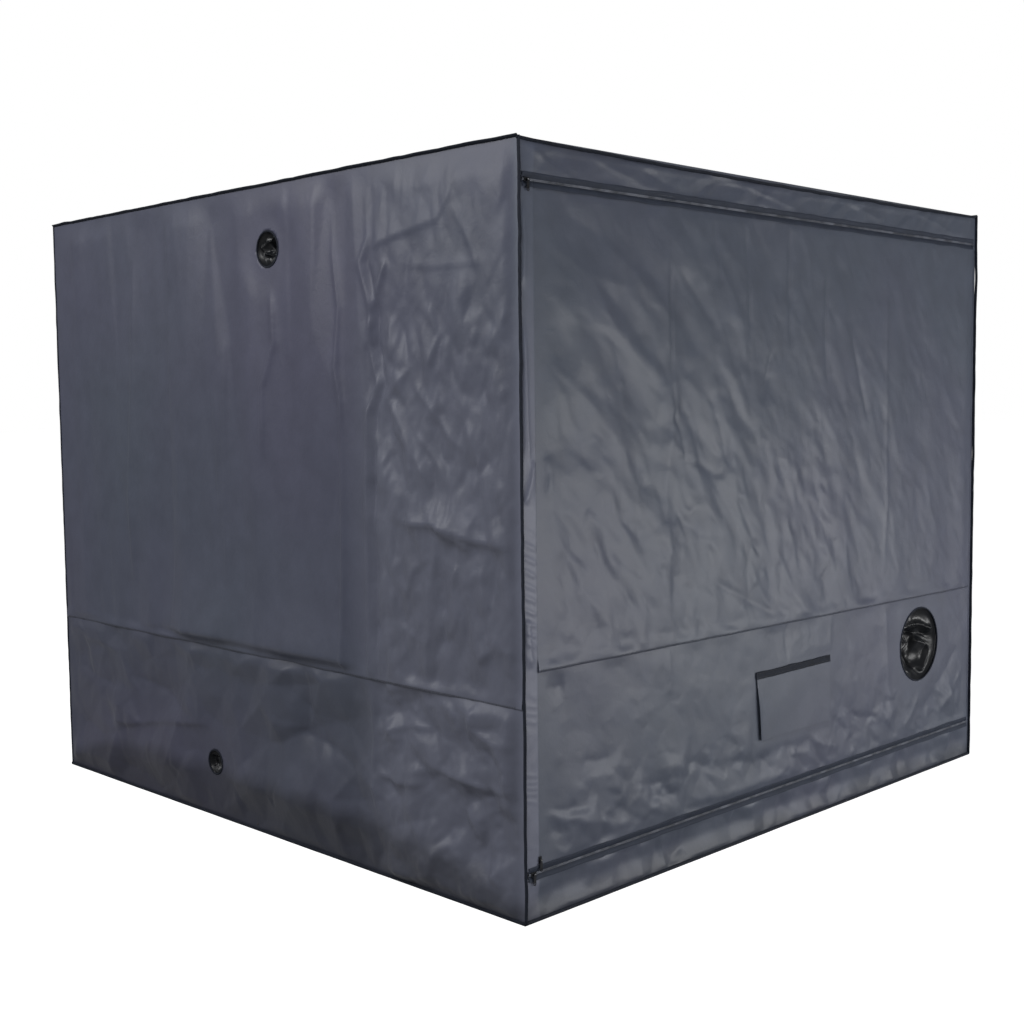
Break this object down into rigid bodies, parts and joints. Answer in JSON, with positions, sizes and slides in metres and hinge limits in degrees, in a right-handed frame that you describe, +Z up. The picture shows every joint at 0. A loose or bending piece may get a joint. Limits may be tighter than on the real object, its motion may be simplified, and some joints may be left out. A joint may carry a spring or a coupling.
{
  "type": "indoor grow tent",
  "caption": "Square indoor grow tent: steel tube frame in moulded connectors under a sewn cloth cover with a zipped door wall, duct and cable ports and a flapped vent.",
  "frame": {"origin": "centre of the underside of the floor sheet, on the ground", "axes": "+Z up; the zipped door wall faces -Y; the wall with two cable ports faces -X"},
  "size_m": [2.4, 2.4, 2],
  "materials": {
    "cover_cloth": "coated slate grey woven cloth, satin outside",
    "sleeve_cloth": "thin black cloth, gathered",
    "vent_net": "black net",
    "zip_black": "black coil zip",
    "pull_alloy": "plain grey alloy",
    "connector_plastic": "black moulded plastic",
    "tube_paint": "white painted steel tube",
    "tray_film": "silver coated waterproof sheet"
  },
  "bodies": {
    "tent": {"corner_bottom_front_left": "connector_plastic", "corner_bottom_front_right": "connector_plastic", "corner_bottom_back_right": "connector_plastic", "corner_bottom_back_left": "connector_plastic", "corner_top_front_left": "connector_plastic", "corner_top_front_right": "connector_plastic", "corner_top_back_right": "connector_plastic", "corner_top_back_left": "connector_plastic", "tee_bottom_back": "connector_plastic", "tee_bottom_left": "connector_plastic", "tee_bottom_right": "connector_plastic", "tee_top_back": "connector_plastic", "tee_top_left": "connector_plastic", "tee_top_right": "connector_plastic", "rail_bottom_front": "tube_paint", "rail_bottom_back_left": "tube_paint", "rail_bottom_left_front": "tube_paint", "rail_bottom_left_rear": "tube_paint", "rail_bottom_back_right": "tube_paint", "rail_bottom_right_front": "tube_paint", "rail_bottom_right_rear": "tube_paint", "rail_top_front": "tube_paint", "rail_top_back_left": "tube_paint", "rail_top_left_front": "tube_paint", "rail_top_left_rear": "tube_paint", "rail_top_back_right": "tube_paint", "rail_top_right_front": "tube_paint", "rail_top_right_rear": "tube_paint", "post_front_left": "tube_paint", "post_front_right": "tube_paint", "post_back_right": "tube_paint", "post_back_left": "tube_paint", "post_mid_back": "tube_paint", "post_mid_left": "tube_paint", "post_mid_right": "tube_paint", "floor_sheet": "cover_cloth", "roof_panel": "cover_cloth", "left_wall": "cover_cloth", "right_wall": "cover_cloth", "back_wall": "cover_cloth", "front_surround": "cover_cloth", "floor_tray": "tray_film", "cable_sleeve_upper": "sleeve_cloth", "cable_sleeve_lower": "sleeve_cloth", "duct_sleeve_back": "sleeve_cloth", "zip_chain_top": "zip_black", "zip_chain_bottom": "zip_black", "zip_chain_side": "zip_black"},
    "door": {"door_panel": "cover_cloth", "duct_sleeve_front": "sleeve_cloth", "vent_mesh": "vent_net"},
    "flap": {"vent_flap": "cover_cloth"},
    "top_slider": {"slider_top": "zip_black"},
    "bottom_slider": {"slider_bottom": "zip_black"},
    "side_slider": {"slider_side": "zip_black"},
    "top_tab": {"pull_tab_top": "pull_alloy"},
    "bottom_tab": {"pull_tab_bottom": "pull_alloy"},
    "side_tab": {"pull_tab_side": "pull_alloy"},
    "left_bar": {"hanging_bar_left": "tube_paint"},
    "right_bar": {"hanging_bar_right": "tube_paint"}
  },
  "joints": [
    {"name": "door_swing", "type": "hinge", "parent": "tent", "child": "door", "pos_m": [1.1759, -1.19, 1], "axis": [0, 0, 1], "range_deg": [0, 130]},
    {"name": "vent_flap_lift", "type": "hinge", "parent": "door", "child": "flap", "pos_m": [0.0275, -1.1948, 0.489], "axis": [-1, 0, 0], "range_deg": [0, 170]},
    {"name": "top_zip_run", "type": "slide", "parent": "tent", "child": "top_slider", "axis": [1, 0, 0], "range_m": [0, 2.3174]},
    {"name": "bottom_zip_run", "type": "slide", "parent": "tent", "child": "bottom_slider", "axis": [1, 0, 0], "range_m": [0, 2.3174]},
    {"name": "side_zip_run", "type": "slide", "parent": "tent", "child": "side_slider", "axis": [0, 0, 1], "range_m": [0, 1.7034]},
    {"name": "top_tab_flip", "type": "hinge", "parent": "top_slider", "child": "top_tab", "pos_m": [-1.1587, -1.196, 1.895], "axis": [-1, 0, 0], "range_deg": [0, 150]},
    {"name": "bottom_tab_flip", "type": "hinge", "parent": "bottom_slider", "child": "bottom_tab", "pos_m": [-1.1587, -1.196, 0.128], "axis": [-1, 0, 0], "range_deg": [0, 150]},
    {"name": "side_tab_flip", "type": "hinge", "parent": "side_slider", "child": "side_tab", "pos_m": [-1.134, -1.196, 0.1598], "axis": [-1, 0, 0], "range_deg": [0, 150]},
    {"name": "left_bar_slide", "type": "slide", "parent": "tent", "child": "left_bar", "axis": [1, 0, 0], "range_m": [-0.5, 0.5]},
    {"name": "right_bar_slide", "type": "slide", "parent": "tent", "child": "right_bar", "axis": [1, 0, 0], "range_m": [-0.5, 0.5]}
  ]
}
